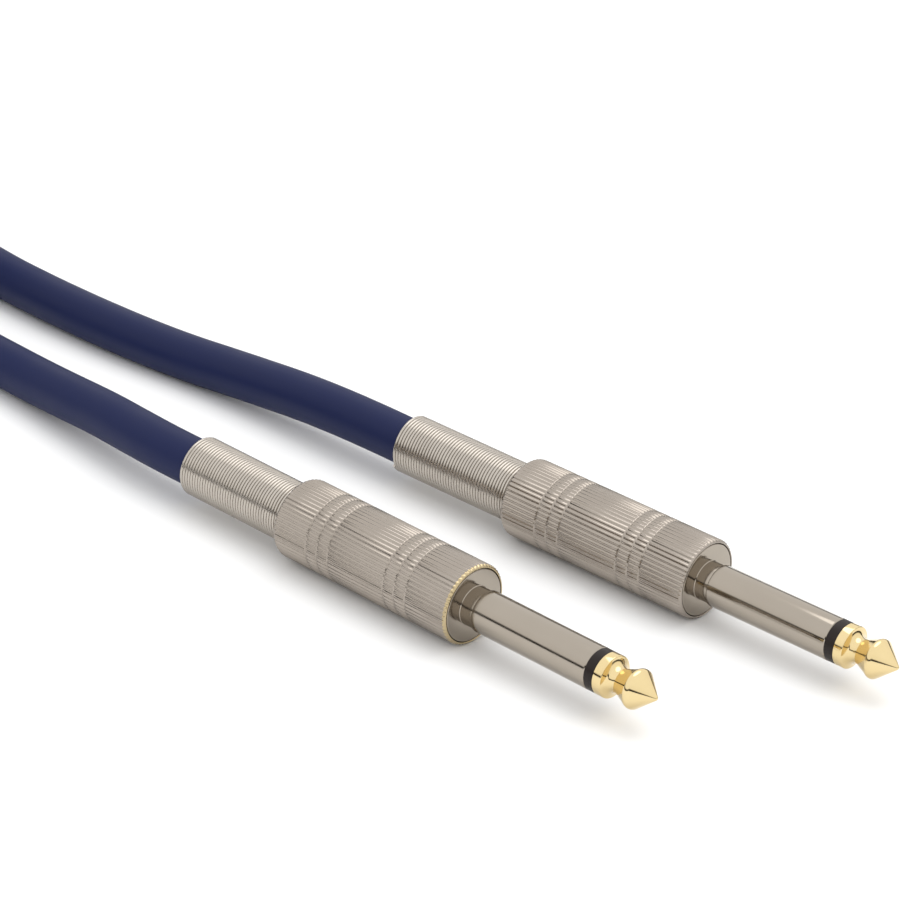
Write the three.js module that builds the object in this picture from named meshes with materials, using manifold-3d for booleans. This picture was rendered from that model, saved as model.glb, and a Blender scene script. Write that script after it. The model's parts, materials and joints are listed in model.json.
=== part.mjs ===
// Instrument cable: two straight 6.35 mm plugs with screw-on barrels and spring strain reliefs, on one cord.
// Millimetres, +Z up. The plugs lie side by side on the floor and point along +X; the spare cord lies behind
// them in a hank.
import * as THREE from 'three';
import { mergeVertices } from 'three/addons/utils/BufferGeometryUtils.js';
import Module from 'manifold-3d';

const wasm = await Module();
wasm.setup();

// ---------------------------------------------------------------- driving dimensions
// Plug nose
const PLUG_R = 3.175;            // the plug's standard radius, 6.35 mm across
const NOSE_LENGTH = 33.6;        // point of the tip to the barrel's front rim
const TIP_LENGTH = 9.03;         // gold contact, point to insulating ring
const TIP_CONE_LENGTH = 3.2;
const TIP_POINT_R = 0.28;        // blunt end of the cone
const TIP_HEAD_R = 3.0;
const TIP_HEAD_LENGTH = 1.4;     // widest part, behind the cone
const TIP_HEAD_ROUND = 0.6;      // and the part of it that is rounded over to the cone
const TIP_FLARE = 1.0;           // slope from the waist up to the head
const TIP_WAIST_R = 1.82;
const TIP_FALL = 1.0;            // slope from the collar down to the waist
const TIP_FILLET = 0.35;         // hollow corners at both ends of the waist
const TIP_COLLAR = 1.35;         // plain band of the tip beside the ring
const EDGE = 0.12;               // broken edges of the nose
const TIP_SOCKET = 3.2;          // blind hole that the centre pin is driven into
const RING_LENGTH = 1.58;        // black insulating ring
const RING_HUB = 2.5;            // its spigot inside the shank
const SHANK_BORE_R = 2.2;
const RELIEF_LENGTH = 2.2;       // turned-down neck where the shank meets the flange
const RELIEF_DEPTH = 0.2;
const FLANGE_R = 5.48;
const FLANGE_T = 2.0;
const BOSS_R = 4.9;              // threaded boss behind the flange
const BOSS_LENGTH = 6.0;
const BOSS_CHAMFER = 0.3;

// Barrel, liner and spring
const BARREL_R = 6.08;
const BARREL_LENGTH = 33.9;
const BARREL_BORE_R = 5.1;
const BARREL_REAR_WALL = 1.6;
const BARREL_REAR_ROUND = 0.9;
const BARREL_CHAMFER = 0.25;
const GROOVE_WIDTH = 0.8;
const GROOVE_DEPTH = 0.35;
const GROOVE_PITCH = 2.15;
const GROOVES_PER_GROUP = 3;
const GROOVE_GROUPS = [9.9, 25.0];   // middle of each group, measured back from the front rim
const LINER_WALL = 0.3;
const SPRING_WIRE = 0.65;
const SPRING_FLARE = 1.2;        // length of the end turns that are wound wide and held by the barrel
const SPRING_OUT_A = 20.8;       // spring that shows behind each barrel
const SPRING_OUT_B = 22.6;

// Centre stack
const PIN_R = 1.0;
const PIN_HEAD_R = 1.7;
const PIN_HEAD_T = 0.6;
const CORE_R = 1.95;             // insulating tube between pin and shank
const CLAMP_T = 0.45;            // sheet of the ground clamp
const CLAMP_TAIL_WIDTH = 2.4;
const CRIMP_LENGTH = 5.0;
const CRIMP_OPENING = THREE.MathUtils.degToRad(60);
const CRIMP_SETBACK = 1.0;       // jacket that shows past the crimp
const CLAMP_OVERLAP = 0.5;       // length over which the tail runs onto the crimp
const CLAMP_TAIL_T = 0.35;
const WELD = 0.05;               // how far joined parts of one sheet reach into each other
const WASHER_R = 3.9;
const WASHER_T = 0.8;
const LUG_R = 2.7;
const LUG_T = 0.5;
const LUG_TAB_LENGTH = 4.6;
const LUG_TAB_WIDTH = 2.0;
const LUG_TAB_T = 0.45;
const LUG_TAB_INSET = 0.25;      // tab's outer face below the lug's rim

// Cord
const CORD_R = 3.7;
const JACKET_WALL = 0.8;
const SHIELD_WALL = 0.7;
const CORE_WIRE_R = 1.85;        // insulated centre conductor
const CONDUCTOR_R = 0.5;
const PIGTAIL_R = 0.6;
const JACKET_STRIP = 11.3;       // jacket that reaches into the barrel, past its rear face
const SHIELD_STRIP = 1.6;        // braid that shows past the jacket
const PIGTAIL_LENGTH = 6.0;
const CORE_STRIP = 5.0;          // insulation that shows past the jacket
const CONDUCTOR_BARE = 5.0;
const CONDUCTOR_BEND = 2.6;      // run over which the bare end rises to the lug's tab

// Named clearances
const SEAT_GAP = 0.3;            // between pieces that rest against each other
const RUN_GAP = 0.12;            // barrel's counterbore and rear hole around what turns in them
const CORD_GAP = 0.2;            // spring and crimp around the jacket
const BORE_GAP = 0.25;           // holes of the centre stack around the pin
const LINER_GAP = 0.17;          // liner and the spring's wide end in the barrel's bore
const SHIELD_GAP = 0.08;         // braid inside the jacket

// Places of the plugs: each cord exit (the spring's rear end) and the way the plug points
const PLACES = {
  a: { exit: [-52.04, -15.9], turn: 0, springOut: SPRING_OUT_A },
  b: { exit: [-38.01, 14.11], turn: THREE.MathUtils.degToRad(1.81), springOut: SPRING_OUT_B },
};

// Route of the loose cord, seen from above; its height is worked out below
const LEAD_A = [
  [-52.04, -15.9], [-60, -15.9], [-67, -15.4], [-74, -14.5], [-82, -13.7], [-90, -12.9],
  [-98, -12.2], [-107, -11.9], [-116, -11.8], [-125, -11.9], [-134, -12.2], [-143, -12.7], [-152, -13.4],
  [-160.8, -14.5],
];
const LEAD_B = [
  [-38.01, 14.11], [-45.5, 13.9], [-53, 13.7], [-60, 13.6], [-67, 13.3], [-75, 12.8], [-83, 11.9],
  [-91, 10.9], [-99, 10.2], [-107, 9.8], [-116, 9.7], [-125, 10], [-134, 11.2], [-143.5, 14],
  [-153, 17.8], [-160, 21], [-164.1, 22.85],
];
const STRAIGHT = 8;              // cord that runs straight out of each exit
const FALL = 20;                 // and the run over which it comes down to the floor
const TUBE_STEP = 9;
const TUBE_SIDES = 12;

// Hank that holds the spare cord, in line with the plugs, and its ties
const HANK_END = -193;           // middle of the near bends; the hank runs back along -X from here
const HANK_RUN = 51;             // straight run between the bends
const HANK_BEND_R = 6 * CORD_R;  // bend of the inner column of turns, three cord diameters
const HANK_COLUMNS = 2;
const HANK_LAYERS = 5;
const HANK_RAISED = 24;          // stretch at the near end that lies one layer higher, over the two leads
const TIE_T = 1.2;
const TIE_WIDTH = 12;
const TIE_AT = HANK_END - (HANK_RAISED + HANK_RUN) / 2;
const ARC_SEGMENTS = 14;         // facets of each half ring of the hank

const ROUND = 24;                // facets of the large turned pieces
const SMALL_ROUND = 16;          // and of the small ones inside

// ---------------------------------------------------------------- shaping helpers
// A turned piece along +X. The profile's points are [along, radius], with the outer wall running forwards.
function turned(profile, facets = SMALL_ROUND) {
  const points = profile.map(([along, radius]) => new THREE.Vector2(radius, along));
  if (profile[0][1] > 0) {
    points.push(points[0].clone());
  }
  return new THREE.LatheGeometry(points, facets).rotateZ(-Math.PI / 2);
}

function pipe(from, to, inner, outer, facets) {
  return turned([[from, outer], [to, outer], [to, inner], [from, inner]], facets);
}

function rod(from, to, radius, facets) {
  return turned([[from, 0], [from, radius], [to, radius], [to, 0]], facets);
}

function block(from, to, width, low, high) {
  return new THREE.BoxGeometry(to - from, width, high - low).translate((from + to) / 2, 0, (low + high) / 2);
}

function solid(geometry) {
  const bare = new THREE.BufferGeometry();
  bare.setAttribute('position', geometry.getAttribute('position').clone());
  bare.setIndex(geometry.index ? geometry.index.clone() : null);
  const merged = mergeVertices(bare);
  const corners = merged.index.array;
  const kept = [];
  for (let i = 0; i < corners.length; i += 3) {
    const [p, q, r] = corners.subarray(i, i + 3);
    if (p !== q && q !== r && r !== p) {
      kept.push(p, q, r);
    }
  }
  const vertProperties = new Float32Array(merged.getAttribute('position').array);
  return new wasm.Manifold(new wasm.Mesh({ numProp: 3, vertProperties, triVerts: new Uint32Array(kept) }));
}

function joined(...geometries) {
  const mesh = geometries.map(solid).reduce((whole, piece) => whole.add(piece)).getMesh();
  const geometry = new THREE.BufferGeometry();
  geometry.setAttribute('position', new THREE.BufferAttribute(new Float32Array(mesh.vertProperties), 3));
  geometry.setIndex(new THREE.BufferAttribute(new Uint32Array(mesh.triVerts), 1));
  geometry.computeVertexNormals();
  return geometry;
}

function circleShape(radius, sides) {
  const corners = [];
  for (let i = 0; i < sides; i += 1) {
    const angle = (2 * Math.PI * i) / sides;
    corners.push(new THREE.Vector2(radius * Math.cos(angle), radius * Math.sin(angle)));
  }
  return new THREE.Shape(corners);
}

function alongPath(points, radius, sides, steps) {
  const path = new THREE.CatmullRomCurve3(points, false, 'centripetal');
  return new THREE.ExtrudeGeometry(circleShape(radius, sides), { steps, bevelEnabled: false, extrudePath: path });
}

function slab(outline, depth, facets) {
  return new THREE.ExtrudeGeometry(outline, { depth, bevelEnabled: false, curveSegments: facets });
}

// ---------------------------------------------------------------- materials
const FINISH = {
  gold: { color: 0xe3b768, roughness: 0.16, metalness: 1 },
  nickel: { color: 0xc9c0b4, roughness: 0.22, metalness: 1 },
  spring: { color: 0xbdb5aa, roughness: 0.3, metalness: 1 },
  brass: { color: 0xc8a862, roughness: 0.32, metalness: 1 },
  ring: { color: 0x1b171d, roughness: 0.4, metalness: 0 },
  insulator: { color: 0xe8e4d8, roughness: 0.5, metalness: 0 },
  fibre: { color: 0x8c5138, roughness: 0.8, metalness: 0 },
  liner: { color: 0xd8dcd8, roughness: 0.35, metalness: 0 },
  jacket: { color: 0x26305a, roughness: 0.55, metalness: 0 },
  copper: { color: 0xb9714c, roughness: 0.4, metalness: 1 },
  strap: { color: 0x1c1c1e, roughness: 0.9, metalness: 0 },
};

function piece(name, geometry, finish) {
  const mesh = new THREE.Mesh(geometry, new THREE.MeshStandardMaterial(FINISH[finish]));
  mesh.name = name;
  return mesh;
}

// ---------------------------------------------------------------- stations along one plug
// Every station is a distance forward of the cord exit.
function stations(springOut) {
  const rear = springOut;
  const rim = rear + BARREL_LENGTH;
  const point = rim + NOSE_LENGTH;
  const ringFront = point - TIP_LENGTH;
  const ringRear = ringFront - RING_LENGTH;
  const flangeRear = rim - FLANGE_T;
  const bossRear = flangeRear - BOSS_LENGTH;
  const clampRear = bossRear - SEAT_GAP - CLAMP_T;
  const washerRear = clampRear - SEAT_GAP - WASHER_T;
  const lugRear = washerRear - SEAT_GAP - LUG_T;
  const headRear = lugRear - SEAT_GAP - PIN_HEAD_T;
  const jacketEnd = rear + JACKET_STRIP;
  return {
    rear, rim, point, ringFront, ringRear, flangeRear, bossRear, clampRear, washerRear, lugRear, headRear,
    jacketEnd, spring: rear + BARREL_REAR_WALL + SEAT_GAP,
  };
}

// ---------------------------------------------------------------- nose: tip, ring, shank
function tipGeometry(s) {
  const socketR = PIN_R + BORE_GAP;
  const rear = s.ringFront + SEAT_GAP / 2;
  const collarFront = s.ringFront + TIP_COLLAR;
  const coneRear = s.point - TIP_CONE_LENGTH;
  const headRear = coneRear - TIP_HEAD_LENGTH;
  return turned([
    [rear + TIP_SOCKET, 0], [rear + TIP_SOCKET, socketR], [rear, socketR],
    [rear, PLUG_R], [collarFront, PLUG_R], [collarFront + EDGE, PLUG_R - EDGE],
    [collarFront + TIP_FILLET, TIP_WAIST_R + TIP_FILLET], [collarFront + TIP_FALL, TIP_WAIST_R],
    [headRear - TIP_FLARE, TIP_WAIST_R + TIP_FILLET], [headRear, TIP_HEAD_R - EDGE],
    [coneRear - TIP_HEAD_ROUND, TIP_HEAD_R], [coneRear, TIP_HEAD_R - 2 * EDGE],
    [s.point - EDGE, TIP_POINT_R], [s.point, 0],
  ], ROUND);
}

function ringGeometry(s) {
  const hubR = SHANK_BORE_R - RUN_GAP;
  const hole = PIN_R + BORE_GAP;
  const front = s.ringFront - SEAT_GAP / 2;
  const rear = s.ringRear + SEAT_GAP / 2;
  return turned([
    [rear - RING_HUB, hubR], [rear, hubR], [rear, PLUG_R], [front, PLUG_R], [front, hole], [rear - RING_HUB, hole],
  ], ROUND);
}

function shankGeometry(s) {
  const reliefR = PLUG_R - RELIEF_DEPTH;
  const front = s.ringRear - SEAT_GAP / 2;
  return turned([
    [s.bossRear, BOSS_R - BOSS_CHAMFER], [s.bossRear + BOSS_CHAMFER, BOSS_R], [s.flangeRear, BOSS_R],
    [s.flangeRear, FLANGE_R], [s.rim - EDGE, FLANGE_R], [s.rim, FLANGE_R - EDGE], [s.rim, reliefR],
    [s.rim + RELIEF_LENGTH, reliefR],
    [s.rim + RELIEF_LENGTH + RELIEF_DEPTH, PLUG_R], [front, PLUG_R], [front, SHANK_BORE_R],
    [s.bossRear, SHANK_BORE_R],
  ], ROUND);
}

// ---------------------------------------------------------------- barrel, liner, spring
function barrelGeometry(s) {
  const grooves = GROOVE_GROUPS.flatMap((middle) => {
    const places = [];
    for (let i = 0; i < GROOVES_PER_GROUP; i += 1) {
      places.push(s.rim - middle + (i - (GROOVES_PER_GROUP - 1) / 2) * GROOVE_PITCH);
    }
    return places;
  }).sort((p, q) => p - q);
  const grooved = grooves.flatMap((at) => [
    [at - GROOVE_WIDTH / 2, BARREL_R], [at, BARREL_R - GROOVE_DEPTH], [at + GROOVE_WIDTH / 2, BARREL_R],
  ]);
  const counterbore = s.flangeRear - SEAT_GAP;
  const counterR = FLANGE_R + RUN_GAP;
  const holeR = springOuter() + RUN_GAP;
  const wall = s.rear + BARREL_REAR_WALL;
  const round = BARREL_REAR_ROUND;
  return turned([
    [s.rear, BARREL_R - round], [s.rear + 0.3 * round, BARREL_R - 0.3 * round], [s.rear + round, BARREL_R],
    ...grooved,
    [s.rim - BARREL_CHAMFER, BARREL_R], [s.rim, BARREL_R - BARREL_CHAMFER], [s.rim, counterR],
    [counterbore, counterR], [counterbore, BARREL_BORE_R], [wall, BARREL_BORE_R], [wall, holeR], [s.rear, holeR],
  ], ROUND);
}

function springInner() {
  return CORD_R + CORD_GAP;
}

function springOuter() {
  return springInner() + SPRING_WIRE;
}

function springGeometry(s) {
  const wideR = BARREL_BORE_R - LINER_GAP;
  const flareRear = s.spring;
  return turned([
    [0, springOuter()], [flareRear, springOuter()], [flareRear, wideR], [flareRear + SPRING_FLARE, wideR],
    [flareRear + SPRING_FLARE, springInner()], [0, springInner()],
  ], ROUND);
}

function linerGeometry(s) {
  const outer = BARREL_BORE_R - LINER_GAP;
  return pipe(s.spring + SPRING_FLARE + SEAT_GAP, s.bossRear - SEAT_GAP, outer - LINER_WALL, outer, ROUND);
}

// ---------------------------------------------------------------- centre stack
function pinGeometry(s) {
  const front = s.ringFront + SEAT_GAP / 2 + TIP_SOCKET - SEAT_GAP;
  const headFront = s.headRear + PIN_HEAD_T;
  return turned([
    [s.headRear, 0], [s.headRear, PIN_HEAD_R], [headFront, PIN_HEAD_R], [headFront, PIN_R], [front, PIN_R],
    [front, 0],
  ]);
}

function coreInsulatorGeometry(s) {
  const rear = s.clampRear;
  const front = s.ringRear + SEAT_GAP / 2 - RING_HUB - SEAT_GAP;
  return pipe(rear, front, PIN_R + BORE_GAP, CORE_R);
}

// A ring seated behind the boss, a tail along the liner and an open crimp round the jacket, all one sheet.
function clampGeometry(s) {
  const innerR = CORD_R + CORD_GAP;
  const outerR = innerR + CLAMP_T;
  const crimpFront = s.jacketEnd - CRIMP_SETBACK;
  const tailTop = -innerR + WELD;
  const sheet = new THREE.Shape();
  const end = Math.PI - CRIMP_OPENING / 2;
  sheet.absarc(0, 0, outerR, -end, end, false);
  sheet.absarc(0, 0, innerR, end, -end, true);
  sheet.closePath();
  const crimp = slab(sheet, CRIMP_LENGTH, 12);
  crimp.rotateY(Math.PI / 2).translate(crimpFront - CRIMP_LENGTH, 0, 0);
  const plate = pipe(s.clampRear, s.clampRear + CLAMP_T, CORE_R + BORE_GAP, outerR);
  const tail = block(
    crimpFront - CLAMP_OVERLAP, s.clampRear + CLAMP_T / 2, CLAMP_TAIL_WIDTH, tailTop - CLAMP_TAIL_T, tailTop,
  );
  return joined(crimp, plate, tail);
}

function washerGeometry(s) {
  return pipe(s.washerRear, s.washerRear + WASHER_T, PIN_R + BORE_GAP, WASHER_R - CORD_GAP);
}

const LUG_TAB_LOW = LUG_R - LUG_TAB_INSET - LUG_TAB_T;

function lugGeometry(s) {
  const plate = pipe(s.lugRear, s.lugRear + LUG_T, PIN_R + BORE_GAP, LUG_R);
  const rear = s.lugRear - LUG_TAB_LENGTH;
  const tab = block(rear, s.lugRear + LUG_T / 2, LUG_TAB_WIDTH, LUG_TAB_LOW, LUG_TAB_LOW + LUG_TAB_T);
  return joined(plate, tab);
}

// ---------------------------------------------------------------- cord end inside the plug
function jacketGeometry(s) {
  return pipe(SEAT_GAP, s.jacketEnd, CORD_R - JACKET_WALL, CORD_R, ROUND);
}

function shieldGeometry(s) {
  const outer = CORD_R - JACKET_WALL - SHIELD_GAP;
  const end = s.jacketEnd + SHIELD_STRIP;
  const braid = pipe(SEAT_GAP, end, outer - SHIELD_WALL, outer);
  const pigtail = rod(end - SHIELD_STRIP / 2, end + PIGTAIL_LENGTH, PIGTAIL_R, 8);
  return joined(braid, pigtail.translate(0, 0, PIGTAIL_R - outer - CORD_GAP));
}

function coreWireGeometry(s) {
  return pipe(SEAT_GAP, s.jacketEnd + CORE_STRIP, CONDUCTOR_R + CORD_GAP, CORE_WIRE_R);
}

function conductorGeometry(s) {
  const bare = s.jacketEnd + CORE_STRIP;
  const height = LUG_TAB_LOW - SEAT_GAP - CONDUCTOR_R;
  const route = [
    [SEAT_GAP, 0], [bare - CONDUCTOR_BEND, 0], [bare, 0], [bare + CONDUCTOR_BEND / 3, RUN_GAP],
    [bare + CONDUCTOR_BEND, height], [bare + CONDUCTOR_BARE, height],
  ];
  const points = route.map(([along, up]) => new THREE.Vector3(along, 0, up));
  return alongPath(points, CONDUCTOR_R, 8, 14);
}

function plug(end) {
  const { exit, turn, springOut } = PLACES[end];
  const s = stations(springOut);
  const group = new THREE.Group();
  group.add(
    piece(`tip_${end}`, tipGeometry(s), 'gold'),
    piece(`centre_pin_${end}`, pinGeometry(s), 'brass'),
    piece(`insulating_ring_${end}`, ringGeometry(s), 'ring'),
    piece(`core_insulator_${end}`, coreInsulatorGeometry(s), 'insulator'),
    piece(`sleeve_${end}`, shankGeometry(s), 'nickel'),
    piece(`ground_clamp_${end}`, clampGeometry(s), 'brass'),
    piece(`fibre_washer_${end}`, washerGeometry(s), 'fibre'),
    piece(`tip_lug_${end}`, lugGeometry(s), 'brass'),
    piece(`liner_${end}`, linerGeometry(s), 'liner'),
    piece(`barrel_${end}`, barrelGeometry(s), 'nickel'),
    piece(`spring_${end}`, springGeometry(s), 'spring'),
    piece(`jacket_end_${end}`, jacketGeometry(s), 'jacket'),
    piece(`shield_${end}`, shieldGeometry(s), 'copper'),
    piece(`core_wire_${end}`, coreWireGeometry(s), 'insulator'),
    piece(`conductor_${end}`, conductorGeometry(s), 'copper'),
  );
  group.position.set(exit[0], exit[1], BARREL_R);
  group.rotation.z = turn;
  return group;
}

// ---------------------------------------------------------------- loose cord
function smooth(t) {
  const held = THREE.MathUtils.clamp(t, 0, 1);
  return held * held * (3 - 2 * held);
}

// Height of the cord's middle: level out of the plug, then down to the floor.
function leadPoints(route) {
  let gone = 0;
  return route.map(([x, y], i) => {
    gone += i > 0 ? Math.hypot(x - route[i - 1][0], y - route[i - 1][1]) : 0;
    const fallen = smooth((gone - STRAIGHT) / FALL);
    return new THREE.Vector3(x, y, CORD_R + (BARREL_R - CORD_R) * (1 - fallen));
  });
}

function lead(name, route, turn) {
  const points = leadPoints(route);
  points[0].x -= (SEAT_GAP / 2) * Math.cos(turn);
  points[0].y -= (SEAT_GAP / 2) * Math.sin(turn);
  const length = new THREE.CatmullRomCurve3(points).getLength();
  return piece(name, alongPath(points, CORD_R, TUBE_SIDES, Math.round(length / TUBE_STEP)), 'jacket');
}

const HANK_LOW = TIE_T + SEAT_GAP;
const HANK_HEIGHT = 2 * HANK_LAYERS * CORD_R;
const HANK_INNER_R = HANK_BEND_R - CORD_R;
const HANK_OUTER_R = HANK_INNER_R + 2 * HANK_COLUMNS * CORD_R;

function stadium(radius) {
  const outline = new THREE.Shape();
  outline.absarc(HANK_END, 0, radius, -Math.PI / 2, Math.PI / 2, false);
  outline.absarc(HANK_END - HANK_RUN, 0, radius, Math.PI / 2, 1.5 * Math.PI, false);
  outline.closePath();
  return outline;
}

// The near end of the hank: half a ring with two short arms.
function nearEnd() {
  const arm = HANK_END - HANK_RAISED;
  const outline = new THREE.Shape();
  outline.moveTo(arm, -HANK_OUTER_R);
  outline.absarc(HANK_END, 0, HANK_OUTER_R, -Math.PI / 2, Math.PI / 2, false);
  outline.lineTo(arm, HANK_OUTER_R);
  outline.lineTo(arm, HANK_INNER_R);
  outline.absarc(HANK_END, 0, HANK_INNER_R, Math.PI / 2, -Math.PI / 2, true);
  outline.lineTo(arm, -HANK_INNER_R);
  outline.closePath();
  return outline;
}

function hankGeometry() {
  const outline = stadium(HANK_OUTER_R);
  outline.holes.push(stadium(HANK_INNER_R));
  const body = slab(outline, HANK_HEIGHT, ARC_SEGMENTS);
  const layer = 2 * CORD_R;
  const raised = slab(nearEnd(), 2 * layer, ARC_SEGMENTS);
  body.translate(0, 0, HANK_LOW);
  raised.translate(0, 0, HANK_LOW + HANK_HEIGHT - layer);
  return joined(body, raised);
}

// A strap round one side's run of turns: a flat loop standing across it.
function tieGeometry(side) {
  const halfWide = HANK_COLUMNS * CORD_R + SEAT_GAP;
  const halfHigh = HANK_HEIGHT / 2 + SEAT_GAP;
  const loop = (wide, high, corner) => {
    const outline = new THREE.Shape();
    outline.absarc(wide - corner, high - corner, corner, 0, Math.PI / 2, false);
    outline.absarc(-wide + corner, high - corner, corner, Math.PI / 2, Math.PI, false);
    outline.absarc(-wide + corner, -high + corner, corner, Math.PI, 1.5 * Math.PI, false);
    outline.absarc(wide - corner, -high + corner, corner, 1.5 * Math.PI, 2 * Math.PI, false);
    outline.closePath();
    return outline;
  };
  const strap = loop(halfWide + TIE_T, halfHigh + TIE_T, TIE_T);
  strap.holes.push(loop(halfWide, halfHigh, SEAT_GAP / 2));
  const geometry = slab(strap, TIE_WIDTH, 3);
  geometry.translate(0, halfHigh + TIE_T, -TIE_WIDTH / 2).rotateX(Math.PI / 2).rotateZ(Math.PI / 2);
  return geometry.translate(TIE_AT, (side * (HANK_INNER_R + HANK_OUTER_R)) / 2, 0);
}

const cable = new THREE.Group();
cable.add(plug('a'), plug('b'));
cable.add(lead('cord_lead_a', LEAD_A, PLACES.a.turn), lead('cord_lead_b', LEAD_B, PLACES.b.turn));
cable.add(piece('cord_hank', hankGeometry(), 'jacket'));
cable.add(piece('hank_tie_1', tieGeometry(-1), 'strap'), piece('hank_tie_2', tieGeometry(1), 'strap'));

export default cable;
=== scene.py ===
# %% [markdown]
# An instrument cable: two straight 6.35 mm plugs, ribbed screw-on barrels, close-wound spring strain
# reliefs and one navy cord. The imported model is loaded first, as a fixed frame that says where everything
# is and what moves.

# %% Load the frame
import bmesh
import bpy
import json
import math
from mathutils import Matrix, Vector


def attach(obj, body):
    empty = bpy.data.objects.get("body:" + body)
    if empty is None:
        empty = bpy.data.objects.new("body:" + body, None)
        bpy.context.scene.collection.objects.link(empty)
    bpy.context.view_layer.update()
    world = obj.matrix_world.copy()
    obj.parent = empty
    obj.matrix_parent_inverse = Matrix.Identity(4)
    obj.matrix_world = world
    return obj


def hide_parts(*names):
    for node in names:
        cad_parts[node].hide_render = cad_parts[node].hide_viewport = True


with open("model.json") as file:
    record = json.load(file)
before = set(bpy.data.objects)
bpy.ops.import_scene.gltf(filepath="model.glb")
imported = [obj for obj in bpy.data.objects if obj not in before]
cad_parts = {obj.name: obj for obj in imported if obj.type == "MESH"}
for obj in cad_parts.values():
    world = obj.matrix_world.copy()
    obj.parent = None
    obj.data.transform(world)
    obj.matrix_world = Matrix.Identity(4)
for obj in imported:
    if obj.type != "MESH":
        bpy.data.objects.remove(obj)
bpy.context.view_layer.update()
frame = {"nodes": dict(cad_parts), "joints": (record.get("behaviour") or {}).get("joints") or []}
scene = bpy.context.scene

# %% [markdown]
# A long lens from the front and a little above flattens the plugs, as in a catalogue picture. The camera is
# placed by its heading, its tilt down and a small roll, so each of them can be read and changed by itself.

# %% Camera
EYE = Vector((0.3376, -0.4142, 0.2852))
HEADING, TILT, ROLL = math.radians(-40.6), math.radians(26.18), math.radians(5.15)
LENS, SENSOR = 168.9, 36.0
CLIP_NEAR, CLIP_FAR = 0.01, 20


def make_camera():
    level_part = math.cos(TILT)
    forward = Vector((math.sin(HEADING) * level_part, math.cos(HEADING) * level_part, -math.sin(TILT)))
    level = Vector((math.cos(HEADING), -math.sin(HEADING), 0))
    upright = level.cross(forward)
    right = math.cos(ROLL) * level + math.sin(ROLL) * upright
    up = math.cos(ROLL) * upright - math.sin(ROLL) * level
    camera = bpy.data.objects.new("camera", bpy.data.cameras.new("camera"))
    camera.data.lens, camera.data.sensor_width = LENS, SENSOR
    camera.data.clip_start, camera.data.clip_end = CLIP_NEAR, CLIP_FAR
    turn = Matrix((right, up, -forward)).transposed().to_4x4()
    camera.matrix_world = Matrix.Translation(EYE) @ turn
    scene.collection.objects.link(camera)
    scene.camera = camera


make_camera()
print("camera at", tuple(round(v, 3) for v in EYE))

# %% [markdown]
# Each plug lies along its barrel's screw joint. The joint gives a point on the axis, at the barrel's rear
# face, and the direction, so every turned piece is modelled along +X from that face and then set down by
# one matrix.

# %% Where the plugs are
SPRING_OUT = {"a": 0.0208, "b": 0.0226}
JOINTS = {joint["name"]: joint for joint in frame["joints"]}


def plug_matrix(end):
    joint = JOINTS[f"barrel_{end}_screw"]
    ahead = -Vector(joint["axis"]).normalized()
    side = Vector((0, 0, 1)).cross(ahead).normalized()
    turn = Matrix((ahead, side, Vector((0, 0, 1)))).transposed().to_4x4()
    return Matrix.Translation(Vector(joint["pos_m"])) @ turn


PLUG = {end: plug_matrix(end) for end in "ab"}
EXIT = {end: PLUG[end] @ Vector((-SPRING_OUT[end], 0, 0)) for end in "ab"}
AXIS_HEIGHT = EXIT["a"].z
print("exits", {end: tuple(round(v, 4) for v in EXIT[end]) for end in "ab"})

# %% [markdown]
# The cord is one length, from the rear of one spring to the rear of the other. It leaves each plug level
# and comes down to the floor, over a longer fall than the plain CAD tube has, so that it shows no wave. The
# loose stretches follow points given in millimetres, as in the CAD. The spare length is wound in a
# hank two columns wide and five layers high, and a loop works out its turns. The near ends of the turns lie
# one layer higher, so both loose ends slip in underneath them.

# %% Route of the cord
CORD_R = 0.0037
COLUMN = 2 * CORD_R
LEAD_A = [
    (-52.04, -15.9), (-60, -15.9), (-67, -15.4), (-74, -14.5), (-82, -13.7), (-90, -12.9),
    (-98, -12.2), (-107, -11.9), (-116, -11.8), (-125, -11.9), (-134, -12.2), (-143, -12.7), (-152, -13.4),
    (-160.8, -14.5), (-169.5, -16.3), (-178.5, -18.7), (-187.5, -20.9), (-196.5, -22.0), (-205, -22.2),
]
LEAD_B = [
    (-38.01, 14.11), (-45.5, 13.9), (-53, 13.7), (-60, 13.6), (-67, 13.3), (-75, 12.8), (-83, 11.9),
    (-91, 10.9), (-99, 10.2), (-107, 9.8), (-116, 9.7), (-125, 10), (-134, 11.2), (-143.5, 14),
    (-153, 17.8), (-164.1, 22.85), (-172.5, 26.1), (-181, 28.3), (-190, 29.4), (-199, 29.6), (-207, 29.6),
]
STRAIGHT, FALL, CLIMB = 0.008, 0.042, 0.035
HANK_END, HANK_RUN, HANK_ARM, LAYERS = -0.193, 0.051, 0.024, 5
BEND_R = 3 * COLUMN
RUN_STEPS, ARM_STEPS, RING_STEPS = 3, 4, 12
ROUTE_STEPS, ROUNDNESS = 4, 6
TIE_THICK, TIE_GAP = 0.0012, 0.0003
LOW_LAYER = TIE_THICK + TIE_GAP + CORD_R
INNER_SLOTS = [(0, layer) for layer in range(LAYERS)]
OUTER_SLOTS = [(1, layer) for layer in reversed(range(LAYERS))]
SLOTS = INNER_SLOTS + OUTER_SLOTS


def eased(t):
    t = min(max(t, 0.0), 1.0)
    return t * t * (3 - 2 * t)


def lead(route):
    """A loose stretch: level out of the plug, down to the floor, up to the hank's lowest layer."""
    flat = [Vector((x / 1000, y / 1000, 0)) for x, y in route]
    run = [0.0]
    for here, after in zip(flat, flat[1:]):
        run.append(run[-1] + (after - here).length)
    for point, gone in zip(flat, run):
        down = eased((gone - STRAIGHT) / FALL)
        climb = eased((gone - run[-1] + CLIMB) / CLIMB)
        point.z = CORD_R + (AXIS_HEIGHT - CORD_R) * (1 - down) + (LOW_LAYER - CORD_R) * climb
    return flat


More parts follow.
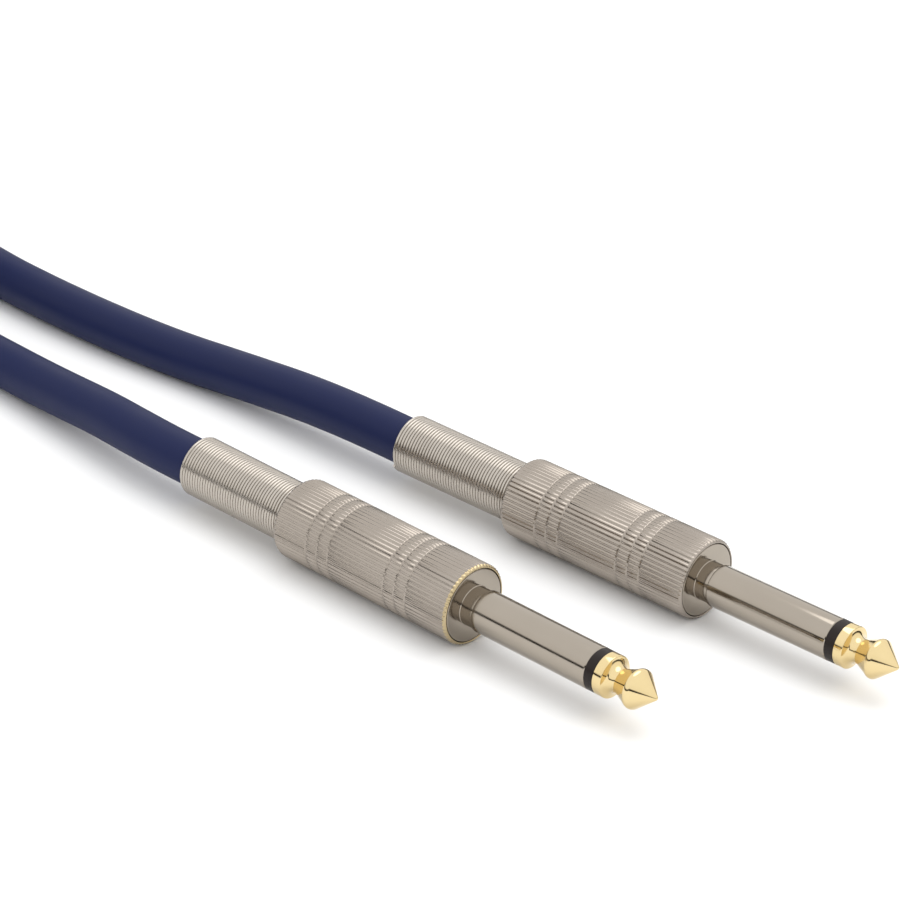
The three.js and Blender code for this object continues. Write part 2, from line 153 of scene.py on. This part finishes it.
def near_layer(turn):
    """The layer at which a turn goes round the near end, into the next slot."""
    column, layer = SLOTS[turn]
    return layer + 1 if column == 0 else layer


def arm(side, radius, from_layer, to_layer, steps=ARM_STEPS):
    """The stretch beside the near end, where a turn changes its layer. It runs away from the near end."""
    points = []
    for i in range(steps + 1):
        layer = from_layer + (to_layer - from_layer) * eased(i / steps)
        points.append(Vector((HANK_END - HANK_ARM * i / steps, side * radius, LOW_LAYER + layer * COLUMN)))
    return points


def half_ring(middle, first, radius, after, height, steps=RING_STEPS):
    """Half a turn round an end of the hank, clockwise from above, from one radius to the next."""
    points = []
    for i in range(1, steps):
        angle = first - math.pi * i / steps
        reach = radius + (after - radius) * eased(i / steps)
        points.append(Vector((middle + reach * math.cos(angle), reach * math.sin(angle), height)))
    return points


def hank_points():
    points = []
    for turn, (column, layer) in enumerate(SLOTS):
        radius, height = BEND_R + column * COLUMN, LOW_LAYER + layer * COLUMN
        run = [HANK_END - HANK_ARM - (HANK_RUN - HANK_ARM) * i / RUN_STEPS for i in range(1, RUN_STEPS + 1)]
        if turn > 0:
            points += arm(-1, radius, near_layer(turn - 1), layer)
        points += [Vector((x, -radius, height)) for x in run]
        points += half_ring(HANK_END - HANK_RUN, -math.pi / 2, radius, radius, height)
        points += [Vector((x, radius, height)) for x in run[::-1]]
        if turn < len(SLOTS) - 1:
            after = BEND_R + SLOTS[turn + 1][0] * COLUMN
            points += arm(1, radius, near_layer(turn), layer)[::-1]
            points += half_ring(HANK_END, math.pi / 2, radius, after, LOW_LAYER + near_layer(turn) * COLUMN)
    return points


def make_cord():
    route = lead(LEAD_A) + hank_points() + lead(LEAD_B)[::-1]
    line = bpy.data.curves.new("cord", "CURVE")
    line.dimensions, line.bevel_depth = "3D", 1.0
    line.bevel_resolution, line.resolution_u = ROUNDNESS, ROUTE_STEPS
    spline = line.splines.new("BEZIER")
    spline.bezier_points.add(len(route) - 1)
    # Each point's radius is the cord's, and the bevel's depth is 1, so that the curve's box is true.
    for place, point in zip(spline.bezier_points, route):
        place.co, place.radius = point, CORD_R
        place.handle_left_type = place.handle_right_type = "AUTO"
    spline.use_smooth = True
    cord = bpy.data.objects.new("cord", line)
    scene.collection.objects.link(cord)
    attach(cord, "cable")
    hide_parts("cord_lead_a", "cord_lead_b", "cord_hank")
    return cord, route


cord, route = make_cord()
print("route of", len(route), "points,", round(sum((q - p).length for p, q in zip(route, route[1:])), 3), "m")

# %% [markdown]
# The hank is held by two straps, one round each side's run of turns. A strap is a flat band, so its outline
# is a rounded rectangle that is extruded across the band's width and then given its thickness.

# %% Hank ties
TIE_WIDTH, TIE_STRIPS = 0.012, 8
TIE_CORNER, CORNER_STEPS = 0.0042, 8
TIE_FILL = 0.9
TIE_AT = HANK_END - (HANK_ARM + HANK_RUN) / 2
TIE_SIDES = {"hank_strap_1": (-1, "hank_tie_1"), "hank_strap_2": (1, "hank_tie_2")}


def band_outline(half_wide, half_high, corner, steps):
    points = []
    for k, (sx, sz) in enumerate(((1, 1), (-1, 1), (-1, -1), (1, -1))):
        for i in range(steps + 1):
            angle = (k + i / steps) * math.pi / 2
            points.append((sx * (half_wide - corner) + corner * math.cos(angle),
                           sz * (half_high - corner) + corner * math.sin(angle)))
    return points


def make_tie(name, side, node):
    mesh = bmesh.new()
    half_wide = COLUMN + TIE_GAP + TIE_THICK
    half_high = LAYERS * COLUMN / 2 + TIE_GAP + TIE_THICK
    middle = side * (BEND_R + COLUMN / 2)
    outline = band_outline(half_wide, half_high, TIE_CORNER, CORNER_STEPS)
    ring = [mesh.verts.new((TIE_AT - TIE_WIDTH / 2, middle + y, half_high + z)) for y, z in outline]
    edges = [mesh.edges.new((p, q)) for p, q in zip(ring, ring[1:] + ring[:1])]
    for _ in range(TIE_STRIPS):
        made = bmesh.ops.extrude_edge_only(mesh, edges=edges)
        edges = [e for e in made["geom"] if isinstance(e, bmesh.types.BMEdge)]
        verts = [v for v in made["geom"] if isinstance(v, bmesh.types.BMVert)]
        bmesh.ops.translate(mesh, verts=verts, vec=(TIE_WIDTH / TIE_STRIPS, 0, 0))
    bmesh.ops.recalc_face_normals(mesh, faces=mesh.faces)
    bmesh.ops.solidify(mesh, geom=mesh.faces[:], thickness=TIE_THICK * TIE_FILL)
    bmesh.ops.recalc_face_normals(mesh, faces=mesh.faces)
    tie = finish_mesh(mesh, name, 40)
    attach(tie, "cable")
    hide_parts(node)
    return tie


def finish_mesh(mesh, name, crease):
    """Turns a bmesh into an object, smooth except where faces meet at more than crease degrees."""
    for face in mesh.faces:
        face.smooth = True
    for edge in mesh.edges:
        edge.smooth = len(edge.link_faces) == 2 and edge.calc_face_angle(0) < math.radians(crease)
    data = bpy.data.meshes.new(name)
    mesh.to_mesh(data)
    mesh.free()
    made = bpy.data.objects.new(name, data)
    scene.collection.objects.link(made)
    return made


ties = [make_tie(name, side, node) for name, (side, node) in TIE_SIDES.items()]
print("ties", [tie.name for tie in ties])

# %% [markdown]
# The nose of the plug is turned on a lathe, so its pieces are half outlines spun round the axis. A full
# spin merges its last ring with its first, and the ends on the axis are welded to one point.

# %% Turned pieces
PLUG_R = 0.003175
BARREL_R = 0.00608
RIM = 0.0339
POINT = RIM + 0.0336
RING_FRONT = POINT - 0.00903
RING_REAR = RING_FRONT - 0.00158
NOSE_STEPS = 96
PLAY = 0.00002
WELD = 1e-7


def arc(centre, radius, first, last, steps):
    """Points of an arc in an outline, as (along, radius) pairs. Angles in degrees from +X."""
    points = []
    for i in range(steps + 1):
        angle = math.radians(first + (last - first) * i / steps)
        points.append((centre[0] + radius * math.cos(angle), centre[1] + radius * math.sin(angle)))
    return points


def turned(name, outline, end, body, node, steps=NOSE_STEPS, closed=False, crease=32):
    mesh = bmesh.new()
    verts = [mesh.verts.new((along, 0, radius)) for along, radius in outline]
    edges = [mesh.edges.new(pair) for pair in zip(verts, verts[1:])]
    if closed:
        edges.append(mesh.edges.new((verts[-1], verts[0])))
    bmesh.ops.spin(mesh, geom=verts + edges, cent=(0, 0, 0), axis=(1, 0, 0), angle=2 * math.pi, steps=steps,
                   use_merge=True, use_duplicate=False)
    bmesh.ops.remove_doubles(mesh, verts=mesh.verts, dist=WELD)
    bmesh.ops.recalc_face_normals(mesh, faces=mesh.faces)
    bmesh.ops.transform(mesh, matrix=PLUG[end], verts=mesh.verts)
    made = finish_mesh(mesh, f"{name}_{end}", crease)
    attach(made, body)
    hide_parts(f"{node}_{end}")
    return made


print("nose", round(POINT - RIM, 4), "m long")

# %% [markdown]
# The tip has a pointed cone, a rounded head, a waist that the socket's spring drops into, and a plain
# collar. The cone's point is blunted, and every edge is broken by a small round, because those rounds carry
# the brightest glints.

# %% Gold tip
POINT_ROUND, CONE_LENGTH = 0.00042, 0.0031
HEAD_SET, HEAD_R, HEAD_ROUND = 0.00042, 0.0022, 0.00078
WAIST_AT, WAIST_R, WAIST_ROUND = POINT - 0.00642, 0.00325, 0.00140
COLLAR_LENGTH, COLLAR_ROUND = 0.00125, 0.00016
TIP_BORE_R, TIP_BORE_DEPTH = 0.0012, 0.003


def tip_outline():
    nose = arc((POINT - POINT_ROUND, 0), POINT_ROUND, 0, 46, 8)
    head = arc((POINT - CONE_LENGTH - HEAD_SET, HEAD_R), HEAD_ROUND, 48, 128, 10)
    waist = arc((WAIST_AT, WAIST_R), WAIST_ROUND, -62, -125, 12)
    collar = arc((RING_FRONT + COLLAR_LENGTH, PLUG_R - COLLAR_ROUND), COLLAR_ROUND, 0, 90, 6)
    rear = RING_FRONT + PLAY
    bore_end = rear + TIP_BORE_DEPTH
    bore = [(rear, PLUG_R), (rear, TIP_BORE_R), (bore_end, TIP_BORE_R), (bore_end, 0)]
    return nose + head + waist + collar + bore


tips = [turned("gold_tip", tip_outline(), end, "cable", "tip", crease=50) for end in "ab"]
print("tips", [len(tip.data.polygons) for tip in tips], "faces")

# %% [markdown]
# The black ring keeps the tip's contact apart from the sleeve's. Only a narrow band of it shows. Its hub
# runs back inside the sleeve, so the outline is a closed one, spun into a ring with a bore.

# %% Insulating ring
RING_HUB, HUB_R, RING_BORE_R, RING_EDGE = 0.0025, 0.00208, 0.00125, 0.00006


def ring_outline():
    front, rear = RING_FRONT - PLAY, RING_REAR + PLAY
    edge = PLUG_R - PLAY
    return [(rear - RING_HUB, HUB_R), (rear, HUB_R), (rear, edge - RING_EDGE), (rear + RING_EDGE, edge),
            (front - RING_EDGE, edge), (front, edge - RING_EDGE), (front, RING_BORE_R),
            (rear - RING_HUB, RING_BORE_R)]


rings = [turned("black_ring", ring_outline(), end, "cable", "insulating_ring", closed=True)
         for end in "ab"]
print("rings", [len(ring.data.polygons) for ring in rings], "faces")

# %% [markdown]
# The sleeve is one turned piece: shank, flange and threaded boss. The flange is the pale face that shows at
# the barrel's front, and a shallow neck runs round the shank where it meets that face.

# %% Sleeve
FLANGE_R, FLANGE_REAR, FLANGE_EDGE = 0.00548, RIM - 0.002, 0.00012
BOSS_REAR, BOSS_R = RIM - 0.008, 0.0049
ROOT_R, LEAD_IN, LEAD_IN_DEPTH = BOSS_R - 0.00024, 0.0004, 0.0006
NECK_R, NECK_EDGE, NECK_END = PLUG_R - 0.00022, 0.00008, RIM + 0.0021
SHANK_START, SHANK_EDGE, SLEEVE_BORE_R = RIM + 0.0023, 0.00014, 0.0022


def sleeve_outline():
    front = RING_REAR - PLAY
    return [(BOSS_REAR, BOSS_R - LEAD_IN_DEPTH), (BOSS_REAR + LEAD_IN, ROOT_R), (FLANGE_REAR, ROOT_R),
            (FLANGE_REAR, FLANGE_R), *arc((RIM - FLANGE_EDGE, FLANGE_R - FLANGE_EDGE), FLANGE_EDGE, 90, 0, 4),
            (RIM, NECK_R + NECK_EDGE), (RIM + NECK_EDGE, NECK_R), (NECK_END, NECK_R),
            *arc((SHANK_START, PLUG_R - FLANGE_EDGE), FLANGE_EDGE, 180, 90, 4),
            (front - SHANK_EDGE, PLUG_R), (front, PLUG_R - SHANK_EDGE), (front, SLEEVE_BORE_R),
            (BOSS_REAR, SLEEVE_BORE_R)]


sleeves = [turned("sleeve_body", sleeve_outline(), end, "cable", "sleeve", closed=True)
           for end in "ab"]
print("sleeves", [len(sleeve.data.polygons) for sleeve in sleeves], "faces")

# %% [markdown]
# The boss carries the barrel's screw thread. Its ridge is a small triangle spun round the axis while it
# moves along it by one pitch a turn, which is what the spin operator's dvec does.

# %% Thread, and how a piece is wound
PITCH, THREAD_TURNS, THREAD_START = 0.00075, 6.5, FLANGE_REAR - 0.0006
RIDGE_HALF, CREST_HALF = 0.0003, 0.00005


def wound(name, section, start, turns, pitch, end, body, steps=40, crease=60):
    """A closed section wound round the axis. Its turns go backwards, right-handed."""
    mesh = bmesh.new()
    verts = [mesh.verts.new((start + along, 0, radius)) for along, radius in section]
    edges = [mesh.edges.new(pair) for pair in zip(verts, verts[1:] + verts[:1])]
    count = round(turns * steps)
    mesh.faces.new(verts)
    angle = -2 * math.pi * count / steps
    made = bmesh.ops.spin(mesh, geom=edges, cent=(0, 0, 0), axis=(1, 0, 0), angle=angle, steps=count,
                          dvec=(-pitch / steps, 0, 0), use_duplicate=False)
    last = [g for g in made["geom_last"] if isinstance(g, bmesh.types.BMVert)]
    rim = [e for e in mesh.edges if all(v in last for v in e.verts)]
    bmesh.ops.contextual_create(mesh, geom=rim)
    bmesh.ops.recalc_face_normals(mesh, faces=mesh.faces)
    bmesh.ops.transform(mesh, matrix=PLUG[end], verts=mesh.verts)
    coil = finish_mesh(mesh, f"{name}_{end}", crease)
    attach(coil, body)
    return coil


RIDGE = [(-RIDGE_HALF, BOSS_R - RIDGE_HALF), (-CREST_HALF, BOSS_R), (CREST_HALF, BOSS_R),
         (RIDGE_HALF, BOSS_R - RIDGE_HALF)]
for end in "ab":
    thread = wound("boss_thread", RIDGE, THREAD_START, THREAD_TURNS, PITCH, end, "cable")
    print(thread.name, len(thread.data.polygons), "faces")

# %% [markdown]
# The strain relief is one wire wound close, so it is the same operation with a round section, and a pitch
# just over the wire's thickness. Its front turns sit inside the barrel's rear wall, and it slides back with
# the barrel.

# %% Spring strain relief
WIRE_R, WIRE_SIDES = 0.00026, 8
WIRE_PITCH = 2.02 * WIRE_R
SPRING_R, SPRING_IN = 0.00455, 0.0019


def wire_section():
    return [(WIRE_R * math.cos(a), SPRING_R - WIRE_R + WIRE_R * math.sin(a))
            for a in (2 * math.pi * i / WIRE_SIDES for i in range(WIRE_SIDES))]


for end in "ab":
    reach = SPRING_OUT[end] + SPRING_IN
    spring = wound("wire_spring", wire_section(), SPRING_IN - WIRE_R, (reach - 2 * WIRE_R) / WIRE_PITCH,
                   WIRE_PITCH, end, f"spring_{end}", crease=70)
    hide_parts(f"spring_{end}")
    print(spring.name, len(spring.data.polygons), "faces")

# %% [markdown]
# The barrel is the showpiece. Its outside has straight ribs, cut across by two groups of three ring
# grooves. A circle of points is given the ribs' wave, then extruded from station to station along the axis.
# At a groove the wave dies away and the radius dips, and inside, the same ring of points goes on as the
# rear wall, the bore and the front seat.

# %% Ribbed barrel
RIBS, RIB_POINTS, RIB_DEPTH = 56, 6, 0.00017
GROOVE_DEPTH, GROOVE_HALF, GROOVE_PITCH = 0.00015, 0.00021, 0.00215
GROOVE_GROUPS = (RIM - 0.0099, RIM - 0.0250)
GROOVE_SHAPE = ((-1, 0), (-0.72, 0.55), (-0.3, 1), (0.3, 1), (0.72, 0.55), (1, 0))
REAR_ROUND, ROUND_STEPS = 0.0009, 6
CHAMFER, BREAK = 0.00028, 0.00004
SEAT_R, SEAT_REAR = 0.00560, RIM - 0.0023
BORE_R, REAR_WALL = 0.0051, 0.0016
REAR_HOLE_R, REAR_EDGE = 0.00467, 0.00012


def barrel_stations():
    """(along, radius, how much of the ribs shows) from the rear face, over the outside, to the bore."""
    stations = []
    for i in range(ROUND_STEPS + 1):
        angle = math.pi / 2 * i / ROUND_STEPS
        along = REAR_ROUND * (1 - math.sin(angle)) if i < ROUND_STEPS else 0.0
        share = max(0.0, 1 - i / (ROUND_STEPS - 1))
        stations.append((along, BARREL_R - REAR_ROUND * (1 - math.cos(angle)), share))
    stations.reverse()
    for middle in sorted(GROOVE_GROUPS):
        for k in (-1, 0, 1):
            at = middle + k * GROOVE_PITCH
            for offset, dip in GROOVE_SHAPE:
                stations.append((at + offset * GROOVE_HALF, BARREL_R - dip * GROOVE_DEPTH, 1 - dip))
    stations += [(RIM - CHAMFER - 0.0002, BARREL_R, 1), (RIM - CHAMFER, BARREL_R - BREAK, 0.8),
                 (RIM - 0.00003, BARREL_R - CHAMFER, 0), (RIM, BARREL_R - CHAMFER - BREAK, 0),
                 (RIM, SEAT_R + BREAK, 0), (RIM - BREAK, SEAT_R, 0), (SEAT_REAR, SEAT_R, 0),
                 (SEAT_REAR, BORE_R, 0), (REAR_WALL, BORE_R, 0), (REAR_WALL, REAR_HOLE_R, 0),
                 (REAR_EDGE, REAR_HOLE_R, 0), (0.0, REAR_HOLE_R + REAR_EDGE, 0)]
    return stations


def ribbed_radius(angle, radius, share):
    return radius - RIB_DEPTH * share * math.sin(RIBS * angle / 2) ** 2


def make_barrel(end):
    mesh = bmesh.new()
    around = RIBS * RIB_POINTS
    bmesh.ops.create_circle(mesh, cap_ends=False, segments=around, radius=1.0)
    bmesh.ops.rotate(mesh, verts=mesh.verts, cent=(0, 0, 0), matrix=Matrix.Rotation(math.pi / 2, 3, "Y"))
    edges = first = mesh.edges[:]
    verts = mesh.verts[:]
    for index, (along, radius, share) in enumerate(barrel_stations()):
        if index:
            made = bmesh.ops.extrude_edge_only(mesh, edges=edges)
            edges = [g for g in made["geom"] if isinstance(g, bmesh.types.BMEdge)]
            verts = [g for g in made["geom"] if isinstance(g, bmesh.types.BMVert)]
        for vert in verts:
            angle = math.atan2(vert.co.z, vert.co.y)
            reach = ribbed_radius(angle, radius, share)
            vert.co = Vector((along, reach * math.cos(angle), reach * math.sin(angle)))
    bmesh.ops.bridge_loops(mesh, edges=list(first) + edges)
    bmesh.ops.recalc_face_normals(mesh, faces=mesh.faces)
    bmesh.ops.transform(mesh, matrix=PLUG[end], verts=mesh.verts)
    barrel = finish_mesh(mesh, f"ribbed_barrel_{end}", 55)
    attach(barrel, f"barrel_{end}")
    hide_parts(f"barrel_{end}")
    return barrel


barrels = [make_barrel(end) for end in "ab"]
print("barrel faces", [len(barrel.data.polygons) for barrel in barrels])

# %% [markdown]
# Finishes. Two effects are shared, so each is a node group: cloudiness, a soft change of tone and roughness
# that plating and plastic pick up from handling, and grain, a fine relief for the bump. Each material sets
# its own numbers.

# %% Shared effects
def new_group(name, inputs, outputs):
    group = bpy.data.node_groups.new(name, "ShaderNodeTree")
    for label, value in inputs:
        socket = group.interface.new_socket(label, in_out="INPUT", socket_type="NodeSocketFloat")
        socket.default_value = value
    for label in outputs:
        group.interface.new_socket(label, in_out="OUTPUT", socket_type="NodeSocketFloat")
    return group, group.nodes.new("NodeGroupInput"), group.nodes.new("NodeGroupOutput")


def cloud_group():
    group, given, out = new_group("handled cloudiness", (("Scale", 120.0), ("Low", 0.1), ("High", 0.3)),
                                  ("Roughness", "Mask"))
    place = group.nodes.new("ShaderNodeTexCoord")
    noise = group.nodes.new("ShaderNodeTexNoise")
    noise.inputs["Detail"].default_value = 4
    spread = group.nodes.new("ShaderNodeMapRange")
    spread.inputs["From Min"].default_value, spread.inputs["From Max"].default_value = 0.32, 0.68
    join = group.links.new
    join(place.outputs["Object"], noise.inputs["Vector"])
    join(given.outputs["Scale"], noise.inputs["Scale"])
    join(noise.outputs["Fac"], spread.inputs["Value"])
    join(given.outputs["Low"], spread.inputs["To Min"])
    join(given.outputs["High"], spread.inputs["To Max"])
    join(spread.outputs["Result"], out.inputs["Roughness"])
    join(noise.outputs["Fac"], out.inputs["Mask"])
    return group


def grain_group():
    group, given, out = new_group("fine grain", (("Scale", 2500.0),), ("Height",))
    place = group.nodes.new("ShaderNodeTexCoord")
    noise = group.nodes.new("ShaderNodeTexNoise")
    noise.inputs["Detail"].default_value = 3
    group.links.new(place.outputs["Object"], noise.inputs["Vector"])
    group.links.new(given.outputs["Scale"], noise.inputs["Scale"])
    group.links.new(noise.outputs["Fac"], out.inputs["Height"])
    return group


CLOUD, GRAIN = cloud_group(), grain_group()
print("groups", CLOUD.name, "and", GRAIN.name)


# %% [markdown]
# Every finish is the same small tree of nodes with its own numbers: two tones mixed by the clouds, a
# roughness between two limits, and a bump from the grain. Metals take their look from what they reflect, so
# roughness matters most there.

# %% A material from the two effects
def finish(name, pale, deep, metallic, low, high, cloud=120.0, grain=2500.0, relief=0.00001, strength=0.15,
           specular=0.5):
    """pale and deep are the two tones; low and high are the limits of the roughness."""
    material = bpy.data.materials.new(name)
    material.use_nodes = True
    nodes, join = material.node_tree.nodes, material.node_tree.links.new
    shader = nodes["Principled BSDF"]
    shader.inputs["Metallic"].default_value = metallic
    shader.inputs["Specular IOR Level"].default_value = specular
    clouds, grains = nodes.new("ShaderNodeGroup"), nodes.new("ShaderNodeGroup")
    clouds.node_tree, grains.node_tree = CLOUD, GRAIN
    clouds.inputs["Scale"].default_value = cloud
    clouds.inputs["Low"].default_value, clouds.inputs["High"].default_value = low, high
    grains.inputs["Scale"].default_value = grain
    tones = nodes.new("ShaderNodeMix")
    tones.data_type = "RGBA"
    tones.inputs[6].default_value, tones.inputs[7].default_value = (*pale, 1), (*deep, 1)
    bump = nodes.new("ShaderNodeBump")
    bump.inputs["Strength"].default_value, bump.inputs["Distance"].default_value = strength, relief
    join(clouds.outputs["Mask"], tones.inputs["Factor"])
    join(tones.outputs[2], shader.inputs["Base Color"])
    join(clouds.outputs["Roughness"], shader.inputs["Roughness"])
    join(grains.outputs["Height"], bump.inputs["Height"])
    join(bump.outputs["Normal"], shader.inputs["Normal"])
    return material


# %% [markdown]
# The plating is warm nickel, the tips are gold, and the jacket is a soft navy plastic with little shine.
# The pieces inside the plugs get plain maker's finishes: brass, copper, fibre and natural plastic.

# %% Materials of this cable
GOLD = finish("gold plate", (0.80, 0.65, 0.37), (0.72, 0.56, 0.28), 1, 0.06, 0.13, 220)
NICKEL = finish("nickel plate", (0.40, 0.355, 0.31), (0.335, 0.295, 0.255), 1, 0.16, 0.27, 160)
SHANK = finish("polished nickel", (0.40, 0.355, 0.30), (0.35, 0.31, 0.26), 1, 0.09, 0.17, 120)
WIRE = finish("nickel wire", (0.52, 0.48, 0.43), (0.45, 0.41, 0.365), 1, 0.16, 0.28, 300)
BRASS = finish("bare brass", (0.80, 0.62, 0.30), (0.66, 0.48, 0.22), 1, 0.25, 0.42, 300)
COPPER = finish("copper strands", (0.82, 0.45, 0.30), (0.62, 0.30, 0.18), 1, 0.3, 0.5, 900, 5000,
                relief=0.00004, strength=0.6)
BLACK = finish("black ring plastic", (0.012, 0.008, 0.007), (0.022, 0.016, 0.014), 0, 0.3, 0.45, 400,
               specular=0.2)
WHITE = finish("natural plastic", (0.82, 0.79, 0.71), (0.74, 0.70, 0.62), 0, 0.4, 0.55, 300)
FIBRE = finish("red fibre", (0.32, 0.12, 0.07), (0.22, 0.08, 0.05), 0, 0.65, 0.85, 500, 4000,
               relief=0.00004, strength=0.6)
LINER = finish("milky liner", (0.74, 0.77, 0.74), (0.66, 0.70, 0.67), 0, 0.25, 0.4, 200)
JACKET = finish("navy jacket", (0.004, 0.009, 0.052), (0.006, 0.012, 0.064), 0, 0.42, 0.56, 90, 3200,
                relief=0.00002, strength=0.35, specular=0.22)
WORN = finish("worn rim", (0.56, 0.45, 0.27), (0.46, 0.37, 0.22), 1, 0.16, 0.26, 600)
STRAP = finish("strap loops", (0.012, 0.012, 0.013), (0.03, 0.03, 0.032), 0, 0.8, 0.95, 1500, 2600,
               relief=0.00025, strength=0.9)


def dress(piece, material):
    piece.data.materials.clear()
    piece.data.materials.append(material)


NEW_PIECES = {"gold_tip": GOLD, "black_ring": BLACK, "sleeve_body": SHANK, "boss_thread": NICKEL,
              "wire_spring": WIRE, "ribbed_barrel": NICKEL}
KEPT_NODES = {"centre_pin": BRASS, "core_insulator": WHITE, "ground_clamp": BRASS, "fibre_washer": FIBRE,
              "tip_lug": BRASS, "liner": LINER, "jacket_end": JACKET, "shield": COPPER, "core_wire": WHITE,
              "conductor": COPPER}
for end in "ab":
    for name, material in NEW_PIECES.items():
        dress(bpy.data.objects[f"{name}_{end}"], material)
    for name, material in KEPT_NODES.items():
        for slot in frame["nodes"][f"{name}_{end}"].material_slots:
            slot.material = material
dress(cord, JACKET)
for tie in ties:
    dress(tie, STRAP)


WORN_BAND = 0.0006


def wear_rim(end):
    """The plating is worn through to brass on the front rim."""
    barrel = bpy.data.objects[f"ribbed_barrel_{end}"].data
    barrel.materials.append(WORN)
    back = PLUG[end].inverted()
    for face in barrel.polygons:
        if (back @ face.center).x > RIM - WORN_BAND:
            face.material_index = 1


wear_rim("a")
print("materials", len(bpy.data.materials))

# %% [markdown]
# The set is a pale floor under soft light. Polished metal shows what surrounds it: the lit floor gives its
# lower half, a nearly white dome its upper half, and a narrow dark band just above the horizon the dark
# streak along each shank.

# %% Floor
FLOOR_HALF = 1.6


def make_floor():
    mesh = bmesh.new()
    bmesh.ops.create_grid(mesh, x_segments=4, y_segments=4, size=FLOOR_HALF)
    floor = finish_mesh(mesh, "floor", 30)
    pale = finish("pale floor", (0.93, 0.93, 0.93), (0.94, 0.94, 0.94), 0, 0.8, 0.9, 2, 20,
                  relief=0.0001, strength=0.05)
    dress(floor, pale)
    return floor


floor = make_floor()
print(floor.name, 2 * FLOOR_HALF, "m wide")

# %% [markdown]
# The world is a ramp from straight down to straight up, so the dark band can be set by its height alone.
# One wide disk lamp above adds the soft shadows.

# %% Studio light
SKY = ((0.0, (0.9, 0.9, 0.9)), (0.50, (0.9, 0.9, 0.9)), (0.505, (0.02, 0.018, 0.016)),
       (0.56, (0.03, 0.026, 0.022)), (0.60, (0.95, 0.94, 0.92)), (0.8, (1.0, 1.0, 1.0)),
       (1.0, (1.0, 1.0, 1.0)))
SKY_STRENGTH = 1.2
LAMP_PLACE, LAMP_AIM, LAMP_SIZE, LAMP_WATTS = (-0.1, 0.25, 0.9), (-0.02, 0, 0), 0.8, 2.2


def make_world():
    world = bpy.data.worlds.new("studio")
    world.use_nodes = True
    scene.world = world
    nodes, join = world.node_tree.nodes, world.node_tree.links.new
    place = nodes.new("ShaderNodeTexCoord")
    split = nodes.new("ShaderNodeSeparateXYZ")
    ramp = nodes.new("ShaderNodeValToRGB")
    while len(ramp.color_ramp.elements) < len(SKY):
        ramp.color_ramp.elements.new(0.5)
    for element, (position, colour) in zip(ramp.color_ramp.elements, SKY):
        element.position, element.color = position, (*colour, 1)
    half = nodes.new("ShaderNodeMapRange")
    half.inputs["From Min"].default_value, half.inputs["From Max"].default_value = -1, 1
    join(place.outputs["Generated"], split.inputs["Vector"])
    join(split.outputs["Z"], half.inputs["Value"])
    join(half.outputs["Result"], ramp.inputs["Fac"])
    join(ramp.outputs["Color"], nodes["Background"].inputs["Color"])
    nodes["Background"].inputs["Strength"].default_value = SKY_STRENGTH


def soft_light(name, place, aim, size, watts):
    light = bpy.data.objects.new(name, bpy.data.lights.new(name, "AREA"))
    light.data.shape, light.data.size, light.data.energy = "DISK", size, watts
    light.location = place
    light.rotation_euler = (Vector(aim) - Vector(place)).to_track_quat("-Z", "Y").to_euler()
    scene.collection.objects.link(light)


make_world()
soft_light("top light", LAMP_PLACE, LAMP_AIM, LAMP_SIZE, LAMP_WATTS)
scene.view_settings.view_transform = "Standard"
print("light", LAMP_WATTS, "W, sky", SKY_STRENGTH)
